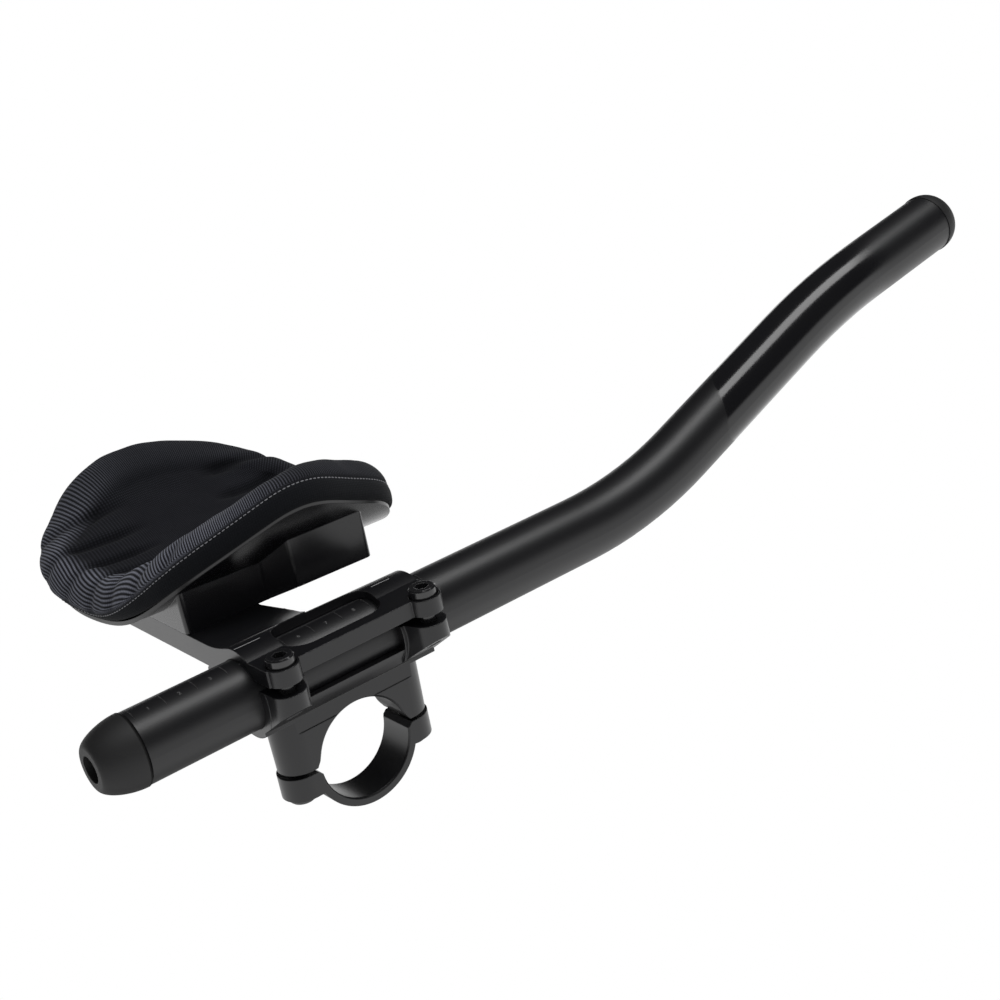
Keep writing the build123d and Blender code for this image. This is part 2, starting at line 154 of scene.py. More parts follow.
# The node tree of a material, the world or a Geometry Nodes group
class Graph:
    def __init__(self, name, kind="material"):
        if kind == "geometry":
            self.tree = bpy.data.node_groups.new(name, "GeometryNodeTree")
            self.ids = {}
            return
        self.owner = bpy.data.worlds.new(name) if kind == "world" else bpy.data.materials.new(name)
        self.owner.use_nodes = True
        self.tree = self.owner.node_tree
        self.tree.nodes.clear()

    def node(self, kind, inputs=None, out=0, **settings):
        made = self.tree.nodes.new(kind)
        for key, value in settings.items():
            setattr(made, key, value)
        for key, value in (inputs or {}).items():
            if isinstance(value, Sock):
                self.tree.links.new(value.socket, made.inputs[key])
            else:
                made.inputs[key].default_value = value
        return Sock(self, made.outputs[out]) if len(made.outputs) else made

    def outputs(self, sock):
        # Every output of the node that a socket belongs to, by name
        return {output.name: Sock(self, output) for output in sock.socket.node.outputs}

    def math(self, operation, a, b=0.0):
        return self.node("ShaderNodeMath", {0: a, 1: b}, operation=operation)

    def place(self):
        return self.node("ShaderNodeTexCoord", out=3)

    def split(self, vector):
        return list(self.outputs(self.node("ShaderNodeSeparateXYZ", {0: vector})).values())

    def attribute(self, name):
        return self.node("ShaderNodeAttribute", out=2, attribute_name=name)

    def noise(self, place, scale, detail, rough=0.5):
        inputs = {"Vector": place, "Scale": scale, "Detail": detail, "Roughness": rough}
        return self.node("ShaderNodeTexNoise", inputs)

    def remap(self, value, ends, results, kind="LINEAR"):
        inputs = {"Value": value, "From Min": ends[0], "From Max": ends[1],
                  "To Min": results[0], "To Max": results[1]}
        return self.node("ShaderNodeMapRange", inputs, interpolation_type=kind)

    def mix(self, factor, a, b):
        # Colours are sockets, or red, green and blue
        a, b = (color if isinstance(color, Sock) else (*color, 1.0) for color in (a, b))
        return self.node("ShaderNodeMix", {"Factor": factor, "A": a, "B": b}, data_type="RGBA", out=2)

    def wave(self, value, pitch):
        # 0 to 1 and back once every pitch
        return self.math("SINE", value * (2 * math.pi / pitch)) * 0.5 + 0.5

    def bump(self, height, strength, distance, normal=None):
        inputs = {"Height": height, "Strength": strength, "Distance": distance}
        if normal is not None:
            inputs["Normal"] = normal
        return self.node("ShaderNodeBump", inputs)

    def rounded(self, radius, cosines=(0.99, 0.90)):
        # Normal as if edges were rounded off, and 1 along those edges
        normal = self.node("ShaderNodeBevel", {"Radius": radius}, samples=6)
        flat = self.node("ShaderNodeNewGeometry", out=1)
        along = self.node("ShaderNodeVectorMath", {0: normal, 1: flat}, operation="DOT_PRODUCT", out=1)
        return normal, self.remap(along, cosines, (0.0, 1.0))

    def backdrop(self, glossy):
        # White to the camera and the given strength to glossy rays, and 1 for a ray that shows either
        path = self.outputs(self.node("ShaderNodeLightPath"))
        camera = path["Is Camera Ray"]
        mirrored = self.math("MAXIMUM", path["Is Glossy Ray"], path["Is Transmission Ray"])
        return camera + (1 - camera) * glossy, self.math("MAXIMUM", camera, mirrored)

    def finish(self, **inputs):
        shader = self.node("ShaderNodeBsdfPrincipled", {k.replace("_", " "): v for k, v in inputs.items()})
        self.node("ShaderNodeOutputMaterial", {"Surface": shader})
        return self.owner

    def takes(self, values):
        # Inputs of a Geometry Nodes group, as sockets by name: the mesh, then each named value
        interface = self.tree.interface
        interface.new_socket(name="Geometry", in_out="INPUT", socket_type="NodeSocketGeometry")
        for name, value in values.items():
            kind = "NodeSocketInt" if isinstance(value, int) else "NodeSocketFloat"
            socket = interface.new_socket(name=name, in_out="INPUT", socket_type=kind)
            socket.default_value = value
            self.ids[name] = socket.identifier
        inlet = self.tree.nodes.new("NodeGroupInput")
        return {output.name: Sock(self, output) for output in inlet.outputs if output.name}

    def gives(self, geometry, material):
        self.tree.interface.new_socket(name="Geometry", in_out="OUTPUT", socket_type="NodeSocketGeometry")
        solid = self.node("GeometryNodeRealizeInstances", {0: geometry})
        painted = self.node("GeometryNodeSetMaterial", {"Geometry": solid, "Material": material})
        self.node("NodeGroupOutput", {0: painted})

    def run(self, made, values, name):
        # The group worked out on an object, as a plain mesh
        modifier = made.modifiers.new(name, "NODES")
        modifier.node_group = self.tree
        for key, value in values.items():
            modifier[self.ids[key]] = value
        return settled(made, name)


# Finishes: noise has its scale per metre and its detail, distances are in metres and colours linear.
# Roughness is its base, then what grain, patches and edges add to it.
tubeLook = {                             # satin black anodising, gloss black ahead of a wavy edge
    "grain": (2600.0, 3.0),
    "patches": (38.0, 3.0),
    "body": ((0.0062, 0.0062, 0.0074), (0.0092, 0.0092, 0.0104)),
    "rough": (0.345, 0.05, 0.05),
    "glossRough": -0.24,
    "edge": (0.1735, 0.1745),            # where the gloss starts, along the tube
    "lean": 0.5,
    "wave": (210.0, 120.0, 0.004),       # radians per metre across and up, and the swing
    "end": (0.238, 0.262),
    "bump": (0.08, 0.00006),
}


def tubeFinish():
    look = tubeLook
    g = Graph("anodisedTube")
    place = g.place()
    x, y, z = g.split(place)
    grain = g.noise(place, *look["grain"])
    patches = g.noise(place, *look["patches"])
    across, upward, swing = look["wave"]
    wavy = g.math("SINE", z * upward + x * across) * swing
    edge = g.remap(y + wavy + x * look["lean"], look["edge"], (0.0, 1.0))
    gloss = edge * g.remap(y, look["end"], (1.0, 0.0), "SMOOTHSTEP")
    base, ofGrain, ofPatches = look["rough"]
    rough = base + grain * ofGrain + patches * ofPatches + gloss * look["glossRough"]
    color = g.mix(patches, *look["body"])
    return g.finish(Base_Color=color, Roughness=rough, Normal=g.bump(grain, *look["bump"]))


hardLooks = {
    "anodised_clamp": {                  # finely blasted and anodised aluminium, with a painted highlight along its edges in patches
        "name": "anodisedClamp",
        "grain": (2200.0, 4.0),
        "patches": (60.0, 3.0),
        "wear": (300.0, 3.0),
        "wearEnds": ((0.3, 0.7), (0.35, 1.0)),
        "body": ((0.0050, 0.0050, 0.0062), (0.0078, 0.0078, 0.0092)),
        "edgeHighlight": (0.030, 0.030, 0.032),
        "round": 0.00045,
        "rough": (0.27, 0.08, 0.05, -0.08),
        "bump": (0.1, 0.00008),
        "specular": 0.5,
    },
    "black_steel": {                     # black oxide, with a painted highlight along its edges
        "name": "blackSteel",
        "grain": (1500.0, 3.0),
        "patches": (1500.0, 3.0),        # the grain again
        "body": ((0.008, 0.008, 0.009), (0.013, 0.013, 0.014)),
        "edgeHighlight": (0.05, 0.05, 0.052),
        "round": 0.00025,
        "rough": (0.12, 0.06, 0.0, 0.0),
        "bump": (0.06, 0.00008),
        "specular": 0.7,
    },
    "cup_plastic": {                     # smooth black moulding with a faint grain, and a painted highlight along its edges
        "name": "cupPlastic",
        "grain": (1400.0, 4.0, 0.6),
        "patches": (45.0, 2.0),
        "body": ((0.0050, 0.0050, 0.0064), (0.0078, 0.0078, 0.0094)),
        "edgeHighlight": (0.022, 0.022, 0.024),
        "round": 0.0004,
        "rough": (0.17, 0.07, 0.04, 0.0),
        "bump": (0.04, 0.00006),
        "specular": 0.5,
    },
}


def hardFinish(look):
    g = Graph(look["name"])
    place = g.place()
    grain = g.noise(place, *look["grain"])
    patches = g.noise(place, *look["patches"])
    # A mask along the edges, where a painted highlight lightens the colour
    normal, edgeHighlight = g.rounded(look["round"])
    if "wear" in look:
        # A noise breaks the painted edge highlight into patches
        edgeHighlight = edgeHighlight * g.remap(g.noise(place, *look["wear"]), *look["wearEnds"])
    base, ofGrain, ofPatches, ofEdges = look["rough"]
    rough = base + grain * ofGrain + patches * ofPatches + edgeHighlight * ofEdges
    # Painted highlight: the colour lighter along the edges
    color = g.mix(edgeHighlight, g.mix(patches, *look["body"]), look["edgeHighlight"])
    normal = g.bump(grain, *look["bump"], normal)
    return g.finish(Base_Color=color, Roughness=rough, Specular_IOR_Level=look["specular"], Normal=normal)


rubberLook = {                           # satin rubber, dark in the joint where it meets the tube
    "grain": (1800.0, 5.0, 0.7),
    "patches": (90.0, 2.0),
    "body": ((0.0095, 0.0095, 0.0102), (0.0130, 0.0130, 0.0136)),
    "joint": (0.0004, 0.0004, 0.0004),
    "jointEnds": (0.0003, 0.0006),
    "rough": (0.56, 0.12, 0.3),          # base, grain and joint
    "bump": (0.2, 0.00010),
    "specular": 0.45,
}


def rubberFinish():
    look = rubberLook
    g = Graph("endRubber")
    place = g.place()
    grain = g.noise(place, *look["grain"])
    fromTube = g.math("ABSOLUTE", g.split(place)[1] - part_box("extension_tube")[0].y)
    joint = g.remap(fromTube, look["jointEnds"], (1.0, 0.0))
    base, ofGrain, ofJoint = look["rough"]
    rough = base + grain * ofGrain + joint * ofJoint
    body = g.mix(g.noise(place, *look["patches"]), *look["body"])
    color = g.mix(joint, body, look["joint"])
    normal = g.bump(grain, *look["bump"])
    return g.finish(Base_Color=color, Roughness=rough, Specular_IOR_Level=look["specular"], Normal=normal)


# Yarn and relief of the pad's cover, with its painted sheen and painted shade, in metres
knit = {
    "ribPitch": 0.00058,
    "loopPitch": 0.00080,
    "bandPitch": 0.00075,
    "stray": (0.00012, 0.00010),         # how far loops and ribs leave their lines
    "uneven": (420.0, 3.0),
    "patches": (60.0, 3.0),
    "loopDepth": 0.28,                   # share of a rib that its loops take
    "crestPower": 1.5,
    "flatRibs": 0.06,                    # how much of the ribs' painted sheen shows away from the roll
    "patchy": (0.7, 0.6),
    "patchyMesh": (0.4, 0.9),
    "meshShare": 0.8,
    "bandShares": (0.6, 0.4),            # rows and patches
    # painted shade in the sewn channels
    "channelShade": 0.75,
    "bandHeight": 0.6,
    "bump": (0.7, 0.00014),
    "rough": 0.85,
    "specular": 0.15,
    "sheen": (0.05, 0.5),
    "stretch": 2.2,                      # of the ribs along the rear rim
    "stretchEnds": (0.004, 0.032),       # across the valley, where the stretch runs out
    "spreadFrom": -0.018,
    "spreadEase": 0.006,
    "farRibSheen": 0.10,                     # least painted sheen on the ribs, on the far side
    "farEnds": (-0.026, 0.014),
    "farCurve": 0.020,
    "farCurveEnds": (-0.035, 0.020),
    "outerRibSheen": 0.45,                   # share of it left along the outboard side
    "outerEnds": (-0.050, -0.015),
    "rollEnds": (0.013, 0.021),          # distances from the seam where the roll ends
    "dark": (0.0030, 0.0034, 0.0052),
    # light rib crests: the yarn's own colour, shown fully only where the painted sheen is
    "yarn": (0.2100, 0.2180, 0.2650),
    "mesh": (0.0250, 0.0260, 0.0350),
    "band": (0.0085, 0.0100, 0.0125),
}


def padFinish():
    # Ribbed knit over the roll with a painted sheen on its crests, fine mesh in the middle, painted shade
    # in the sewn channels, plain knit round the side below the seam
    g = Graph("padKnit")
    u, v = g.split(g.node("ShaderNodeUVMap", uv_map="knit"))[:2]
    crown = g.attribute("crown")
    place = g.place()
    uneven = g.noise(place, *knit["uneven"])
    patches = g.noise(place, *knit["patches"])
    rib = g.wave(v + uneven * knit["stray"][1], knit["ribPitch"])
    loop = g.wave(u + uneven * knit["stray"][0], knit["loopPitch"])
    crest = rib * ((1 - knit["loopDepth"]) + loop * knit["loopDepth"])
    base, gain = knit["patchy"]
    # Painted sheen: rib crests lighter where the roll mask is, most on the near side of the roll
    shown = g.attribute("roll") * (1 - knit["flatRibs"]) + knit["flatRibs"]
    lit = g.math("POWER", crest, knit["crestPower"]) * shown * (base + patches * gain)
    ribbed = g.mix(lit, knit["dark"], knit["yarn"])
    base, gain = knit["patchyMesh"]
    netted = g.mix(loop * rib * (base + patches * gain), knit["dark"], knit["mesh"])
    top = g.mix(g.attribute("inner") * knit["meshShare"], ribbed, netted)
    # Painted shade: the sewn channels darker
    shadedChannels = g.mix(g.attribute("channel") * knit["channelShade"], top, knit["dark"])
    row = g.wave(v, knit["bandPitch"]) * g.wave(u, knit["bandPitch"])
    ofRows, ofPatches = knit["bandShares"]
    side = g.mix(row * ofRows + patches * ofPatches, knit["dark"], knit["band"])
    height = crest * crown + row * (1 - crown) * knit["bandHeight"]
    sheen, sheenRough = knit["sheen"]
    return g.finish(Base_Color=g.mix(crown, side, shadedChannels), Roughness=knit["rough"],
                    Specular_IOR_Level=knit["specular"], Sheen_Weight=sheen, Sheen_Roughness=sheenRough,
                    Normal=g.bump(height, *knit["bump"]))


patternLooks = {
    "seamThread": {
        "twist": (2400.0, 2.0),
        "body": ((0.16, 0.16, 0.175), (0.30, 0.30, 0.32)),
        "bump": (0.3, 0.00005),
        "rough": 0.6,
        "specular": 0.4,
    },
    "hookTape": {
        "hooks": 1400.0,                 # per metre
        "body": ((0.006, 0.006, 0.006), (0.02, 0.02, 0.02)),
        "bump": (0.5, 0.0003),
        "rough": 0.9,
        "specular": 0.2,
    },
}


def patternFinish(name):
    # A pattern that sets both colour and relief
    look = patternLooks[name]
    g = Graph(name)
    if "hooks" in look:
        pattern = g.node("ShaderNodeTexVoronoi", {"Vector": g.place(), "Scale": look["hooks"]})
    else:
        pattern = g.noise(g.place(), *look["twist"])
    return g.finish(Base_Color=g.mix(pattern, *look["body"]), Roughness=look["rough"],
                    Specular_IOR_Level=look["specular"], Normal=g.bump(pattern, *look["bump"]))


markLook = {                             # grey print, darker where it is worn
    "wear": (900.0, 4.0),
    "worn": (0.7, 0.7, 0.72),
    "rough": 0.5,
    "specular": 0.4,
}


def markFinish(name, shade):
    g = Graph(name)
    wear = g.noise(g.place(), *markLook["wear"])
    color = g.mix(wear, [shade * part for part in markLook["worn"]], (shade, shade, shade))
    return g.finish(Base_Color=color, Roughness=markLook["rough"], Specular_IOR_Level=markLook["specular"])


finishes = {slot: hardFinish(look) for slot, look in hardLooks.items()}
finishes["anodised_tube"] = tubeFinish()
finishes["end_rubber"] = rubberFinish()
finishes["pad_fabric"] = padFinish()
finishes["tape_fabric"] = patternFinish("hookTape")
for part in frame["record"]["subparts"]:
    mesh = nodes[part["node"]].data
    mesh.materials.clear()
    mesh.materials.append(finishes[part["material_slot"]])
print("finishes made")

# Sizes of the pad in metres. Places on it are measured across the cup's valley, positive inboard, and
# along it, positive forwards. Heights are over the cup, and lean between upright and square to it.
pad = {
    "around": 264,                       # points round the rim, a multiple of 8
    "probes": (0.020, 0.025),            # places across and along where the valley is measured
    "rimWithin": (0.02, 0.09),
    "rimHalvings": 16,
    "rimPasses": 4,
    "under": [(0.0140, 0.0002), (0.0070, 0.0000), (0.0026, -0.0002)],  # inset and height
    "lip": (-0.0003, -0.0014),           # height of the side's lower edge, outboard and inboard
    "lipEnds": (0.016, 0.040),
    "lipCurl": ((0, 0.0003, 0.0010), (0.0005, 0.0002, 0)),  # heights over the lip, and insets
    "seam": (0.0014, 0.0046),            # height of the seam, outboard and inboard
    "seamEnds": (-0.006, 0.032),
    "seamTuck": 0.00045,
    "seamHalf": 0.0007,
    # Heights up the side and over the roll, with how far in from the rim the cover is there
    "wall": [(-0.0015, 0.0008), (-0.0012, 0.0004), (-0.0005, 0.0000), (0.0008, -0.0004),
             (0.0025, -0.0006), (0.0046, -0.0006), (0.0064, -0.0003), (0.0082, 0.0004),
             (0.0099, 0.0014), (0.0114, 0.0027), (0.0126, 0.0043), (0.0132, 0.0060),
             (0.0133, 0.0076), (0.0129, 0.0092), (0.0123, 0.0108)],
    # Where the rim faces a given way, and how nearly: the roll thinner, the side further out or in
    "outerThin": {"size": 0.62, "facing": (1.0, 0.25), "ends": (-0.90, -0.40)},
    "rearBulge": {"size": 0.0020, "facing": (-0.15, -0.99), "ends": (0.80, 1.00)},
    "outerTuck": {"size": -0.0012, "facing": (-0.98, -0.20), "ends": (0.75, 0.95)},
    "bulgeEnds": (-0.001, 0.003),
    "lobeLift": 0.28,                    # thicker roll at the inboard front corner
    "lobeAcross": (0.020, 0.036),
    "lobeAlong": (0.0, 0.028),
    "sideRings": 9,
    "sideSpacing": 1.2,
    "crownRings": 17,
    "middle": 0.0114,                    # thickness in the middle
    "lean": (1.0, 0.35),                 # outboard side square to the cup, inboard side more upright
    "leanEnds": (-0.012, 0.028),
    "cloth": {"quality": 5, "mass": 0.15, "tension_stiffness": 15, "compression_stiffness": 15,
              "bending_stiffness": 0.5, "use_pressure": True, "uniform_pressure_force": 4.0},
    "frames": 20,
    "swell": 0.0007,                     # furthest that the cover may move
    "swellPasses": 4,
    "groovePitch": 0.012,
    "grooveShift": 0.0005,
    "grooveHalf": 0.0019,
    "grooveDepth": 0.0019,
    "grooveRows": ((-0.0450, -0.0175), (0.0070, 0.0330)),  # along the valley, from and to
    "grooveFade": 0.007,
    "grooveReach": 0.040,
    "rollFill": 0.6,                     # how much shallower the grooves are on the roll
    "crease": 0.00030,
    "creaseScale": 140.0,
    "threadOut": 0.0001,                 # how far the middle of the seam's thread stands out
}


class Valley:
    # The pad's seat, read from its solid: a parabola across, straight along, with a rounded outline
    def __init__(self, node):
        self.tree = meshTree(node)
        low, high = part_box(node)
        middle = (low + high) / 2
        reach, step = pad["probes"]
        lows = []                        # lowest places of the parabolas through three heights each
        for y in (middle.y - step, middle.y + step):
            a, b, c = (self.height(middle.x + reach * k, y) for k in (-1, 0, 1))
            bend = (a - 2 * b + c) / (2 * reach ** 2)
            x = middle.x - (c - a) / (4 * reach * bend)
            lows.append((x, y, b - bend * (x - middle.x) ** 2))
        (xa, ya, za), (xb, yb, zb) = lows
        self.along = Vector((xb - xa, yb - ya, 0)).normalized()
        self.across = Vector((self.along.y, -self.along.x, 0))
        self.bend = bend / self.across.x ** 2
        self.low = (za + zb) / 2
        self.centre = Vector(((xa + xb) / 2, middle.y, 0))
        self.outline = self.findOutline()
        facing = np.roll(self.outline, -1, 0) - np.roll(self.outline, 1, 0)
        facing /= np.linalg.norm(facing, axis=1)[:, None]
        self.outward = np.stack([facing[:, 1], -facing[:, 0]], -1)

    def height(self, x, y):
        hit = self.tree.ray_cast(Vector((x, y, -1.0)), Vector((0, 0, 1)))[0]
        return hit.z if hit else None

    def findOutline(self):
        # Furthest place under the pad in each direction, spaced evenly and smoothed
        found = []
        for degree in range(360):
            turn = math.radians(degree)
            way = self.across * math.cos(turn) + self.along * math.sin(turn)
            near, far = pad["rimWithin"]
            for _ in range(pad["rimHalvings"]):
                half = (near + far) / 2
                spot = self.centre + way * half
                inside = self.height(spot.x, spot.y) is not None
                near, far = (half, far) if inside else (near, half)
            found.append((near * math.cos(turn), near * math.sin(turn)))
        ring = np.array(found + found[:1])
        run = np.append(0, np.cumsum(np.linalg.norm(np.diff(ring, axis=0), axis=1)))
        even = np.linspace(0, run[-1], pad["around"], endpoint=False)
        ring = np.stack([np.interp(even, run, ring[:, k]) for k in (0, 1)], -1)
        for _ in range(pad["rimPasses"]):
            ring = ring * 0.5 + (np.roll(ring, 1, 0) + np.roll(ring, -1, 0)) * 0.25
        return ring

    def points(self, flat, height):
        # World places of points given across and along the valley, at a height over it
        u, v = flat.T
        up = np.array((0, 0, 1))
        square = np.stack([-2 * self.bend * u, np.zeros_like(u), np.ones_like(u)], -1)
        square /= np.linalg.norm(square, axis=1)[:, None]
        lean = blend(pad["lean"], eased(u, *pad["leanEnds"]))[:, None]
        rise = square * lean + up * (1 - lean)
        rise /= np.linalg.norm(rise, axis=1)[:, None]
        local = np.stack([u, v, self.low + self.bend * u * u], -1) + rise * np.reshape(height, (-1, 1))
        return local @ np.array((self.across, self.along, up)) + np.array(self.centre)


def padRings(valley):
    # Rings from the underside round the side and up to the crown, flat and with heights, and the seam's
    (u, v), out = valley.outline.T, valley.outward

    def facing(change):
        return eased(out @ np.array(change["facing"]), *change["ends"])

    lip = blend(pad["lip"], eased(u, *pad["lipEnds"]))
    seamHeight = blend(pad["seam"], eased(u, *pad["seamEnds"]))
    thin = blend((pad["outerThin"]["size"], 1), facing(pad["outerThin"]))
    thin += pad["lobeLift"] * eased(u, *pad["lobeAcross"]) * eased(v, *pad["lobeAlong"])
    bulge = sum(pad[name]["size"] * facing(pad[name]) for name in ("rearBulge", "outerTuck"))
    heights, insets = np.array(pad["wall"]).T
    slope = np.concatenate([[0], np.cumsum(np.hypot(np.diff(heights), np.diff(insets)))])
    rising = heights[:np.argmax(heights)]
    low = np.interp(lip, rising, slope[:len(rising)])
    start = np.interp(seamHeight, rising, slope[:len(rising)])
    rings = [(valley.outline - out * inset, np.full_like(u, height)) for inset, height in pad["under"]]

    def ring(reach):
        height = np.interp(reach, slope, heights)
        tuck = pad["seamTuck"] * np.exp(-((reach - start) / pad["seamHalf"]) ** 2)
        curl = np.interp(height - lip, *pad["lipCurl"])
        inset = np.interp(reach, slope, insets) + tuck + curl - bulge * eased(height, *pad["bulgeEnds"])
        lifted = np.where(height > seamHeight, seamHeight + (height - seamHeight) * thin, height)
        rings.append((valley.outline - out * inset[:, None], lifted))

    for k in range(pad["sideRings"]):
        ring(low + (start - low) * (k / (pad["sideRings"] - 1)) ** pad["sideSpacing"])
    for k in range(1, pad["crownRings"] + 1):
        ring(start + (slope[-1] - start) * k / pad["crownRings"])
    return rings, len(pad["under"]) + pad["sideRings"] - 1


def gridCap(ring, rim, first):
    # Square grid inside a ring: places of its inner points, their rise from 0 at the ring to 1, and faces
    m = len(ring) // 4
    corner = len(ring) // 8
    s = np.arange(m + 1)                 # each side starts a number of corners along the ring
    starts = {"low": (5, s), "right": (7, s), "high": (3, -s), "left": (5, -s)}
    sides = {name: (start * corner + run) % len(ring) for name, (start, run) in starts.items()}
    low, right, high, left = (ring[index] for index in sides.values())
    a = (s / m)[:, None, None]
    b = (s / m)[None, :, None]
    places = (1 - b) * low[:, None] + b * high[:, None] + (1 - a) * left[None] + a * right[None]
    places -= (1 - a) * ((1 - b) * low[0] + b * high[0]) + a * ((1 - b) * low[-1] + b * high[-1])
    rise = (16 * a * (1 - a) * b * (1 - b))[:, :, 0]
    index = np.zeros((m + 1, m + 1), int)
    index[1:-1, 1:-1] = first + np.arange((m - 1) ** 2).reshape(m - 1, m - 1)
    index[:, 0], index[:, -1] = rim + sides["low"], rim + sides["high"]
    index[0], index[-1] = rim + sides["left"], rim + sides["right"]
    faces = np.stack([index[:-1, :-1], index[1:, :-1], index[1:, 1:], index[:-1, 1:]], -1).reshape(-1, 4)
    inner = slice(1, -1)
    return places[inner, inner].reshape(-1, ring.shape[1]), rise[inner, inner].ravel(), faces.tolist()


def buildPad():
    valley = Valley("armrest_pad")
    rings, seam = padRings(valley)
    count, n = len(rings), pad["around"]
    points = [valley.points(flat, height) for flat, height in rings]
    faces = []
    for r in range(count - 1):
        for i in range(n):
            j = (i + 1) % n
            faces.append((r * n + i, r * n + j, (r + 1) * n + j, (r + 1) * n + i))
    first = count * n
    underFlat, _, underFaces = gridCap(rings[0][0], 0, first)
    crownFirst = first + len(underFlat)
    crown, rise, crownFaces = gridCap(np.column_stack(rings[-1]), (count - 1) * n, crownFirst)
    crownFlat, heights = crown[:, :2], crown[:, 2]
    points.append(valley.points(underFlat, np.full(len(underFlat), pad["under"][0][1])))
    points.append(valley.points(crownFlat, heights + (pad["middle"] - heights) * rise))
    faces += [face[::-1] for face in underFaces] + crownFaces
    made = addMesh("padSwelling", np.concatenate(points), faces, finishes["pad_fabric"])
    padPatterns(made.data, valley, rings, seam, underFlat, crownFlat)
    # The underside with its lip and the seam stay where they are
    firm = np.zeros(len(made.data.vertices), bool)
    firm[:(len(pad["under"]) + 1) * n] = True
    firm[seam * n:(seam + 1) * n] = True
    firm[first:crownFirst] = True
    swell(made, firm)
    smooth = made.modifiers.new("smooth", "SUBSURF")
    smooth.levels = smooth.render_levels = 1
    done = settled(made, "padCover")
    sewPad(done.data)
    seamFlat, seamHeight = rings[seam]
    return done, valley.points(seamFlat + valley.outward * pad["threadOut"], seamHeight)


def spreadRibs(flat):
    # Ribs drawn apart towards the rear, less so towards the inboard side
    u, v = flat.T
    behind = np.maximum(knit["spreadFrom"] - v, 0)
    kept = blend((1 / knit["stretch"], 1), eased(u, *knit["stretchEnds"]))
    return np.stack([u, v + behind * (1 - kept) * behind / (behind + knit["spreadEase"])], -1)


def paintedRibSheen(valley):
    # Painted sheen on the ribs round the rim, for light caught on the near side: full at the rear, faint
    # on the far side
    u, v = valley.outline.T
    fromRear = v + knit["farCurve"] * (1 - eased(u, *knit["farCurveEnds"]))
    near = 1 - eased(fromRear, *knit["farEnds"])
    return blend((knit["farRibSheen"], 1), near * blend((knit["outerRibSheen"], 1), eased(u, *knit["outerEnds"])))


def addMask(mesh, name, values):
    mesh.attributes.new(name, "FLOAT", "POINT").data.foreach_set("value", values.astype(np.float32))


def padPatterns(mesh, valley, rings, seam, underFlat, crownFlat):
    # Flat pattern of the cover as a UV map, and masks for its knits and for the painted sheen on its ribs
    n, count = pad["around"], len(rings)
    places = np.array([v.co for v in mesh.vertices])[:n * count].reshape(count, n, 3)
    run = np.zeros((count, n))
    run[1:] = np.cumsum(np.linalg.norm(np.diff(places, axis=0), axis=2), axis=0)
    # Ribs lie along the rim at the rear, wider apart, and run straight over it along the sides
    out = valley.outward
    over = out * np.stack([np.ones(n), np.abs(out[:, 1]) ** 3 / knit["stretch"]], -1)
    ribSheen = paintedRibSheen(valley)
    flats, masks = [], {"crown": [], "roll": [], "inner": []}
    for r, (flat, _) in enumerate(rings):
        top = r > seam
        fade = 1 - eased(run[r] - run[seam], *knit["rollEnds"])
        masks["crown"].append(np.full(n, 1.0) * top)
        # The roll mask carries the painted sheen on the ribs, strongest on the near side
        masks["roll"].append(fade * ribSheen * top)
        masks["inner"].append((1 - fade) * top)
        flats.append(spreadRibs(rings[-1][0]) + over * (run[-1] - run[r])[:, None] if top else flat)
    flats = np.concatenate(flats + [underFlat, spreadRibs(crownFlat)])
    for name, rows in masks.items():
        middle = np.full(len(crownFlat), 0.0 if name == "roll" else 1.0)
        addMask(mesh, name, np.concatenate(rows + [np.zeros(len(underFlat)), middle]))
    flatPlace = np.column_stack([flats, np.zeros(len(flats))]).astype(np.float32)
    mesh.attributes.new("flatPlace", "FLOAT_VECTOR", "POINT").data.foreach_set("vector", flatPlace.ravel())
    ring = np.concatenate([valley.outline, valley.outline[:1]])
    arc = np.append(0, np.cumsum(np.linalg.norm(np.diff(ring, axis=0), axis=1)))
    uv = mesh.uv_layers.new(name="knit").data
    for face in mesh.polygons:
        corners = [(loop, mesh.loops[loop].vertex_index) for loop in face.loop_indices]
        onSide = max(vert for _, vert in corners) < (seam + 1) * n
        wraps = {vert % n for _, vert in corners} == {0, n - 1}
        for loop, vert in corners:
            if onSide:
                uv[loop].uv = (arc[n if wraps and vert % n == 0 else vert % n], run[vert // n, vert % n])
            else:
                uv[loop].uv = flats[vert]


def swell(made, firm):
    # The cover blown up a little between its firm points, then held to a small, smooth move
    start = np.array([v.co for v in made.data.vertices])
    held = made.vertex_groups.new(name="held")
    held.add(np.flatnonzero(firm).tolist(), 1.0, "REPLACE")
    cloth = made.modifiers.new("cloth", "CLOTH")
    for name, value in pad["cloth"].items():
        setattr(cloth.settings, name, value)
    cloth.settings.vertex_group_mass = "held"
    cloth.settings.effector_weights.gravity = 0.0
    cloth.collision_settings.use_collision = False
    scene = bpy.context.scene
    for step in range(1, pad["frames"] + 1):
        scene.frame_set(step)
    blown = made.evaluated_get(bpy.context.evaluated_depsgraph_get()).data
    moved = np.array([v.co for v in blown.vertices]) - start
    far = np.linalg.norm(moved, axis=1)
    moved *= np.minimum(1.0, pad["swell"] / np.maximum(far, 1e-9))[:, None]
    made.modifiers.remove(cloth)
    scene.frame_set(1)
    edges = np.array([e.vertices for e in made.data.edges])
    ends = np.concatenate([edges, edges[:, ::-1]])
    for _ in range(pad["swellPasses"]):
        total = np.zeros_like(moved)
        np.add.at(total, ends[:, 0], moved[ends[:, 1]])
        moved = (moved + total / np.bincount(ends[:, 0])[:, None]) / 2
        moved[firm] = 0
    made.data.vertices.foreach_set("co", (start + moved).astype(np.float32).ravel())
    most = float(np.linalg.norm(moved, axis=1).max())
    print("pad swollen by up to", round(most * 1000, 2), "mm")


def readLayer(data, name, width=1):
    values = np.zeros(len(data) * width, np.float32)
    data.foreach_get(name, values)
    return values.reshape(-1, width) if width > 1 else values


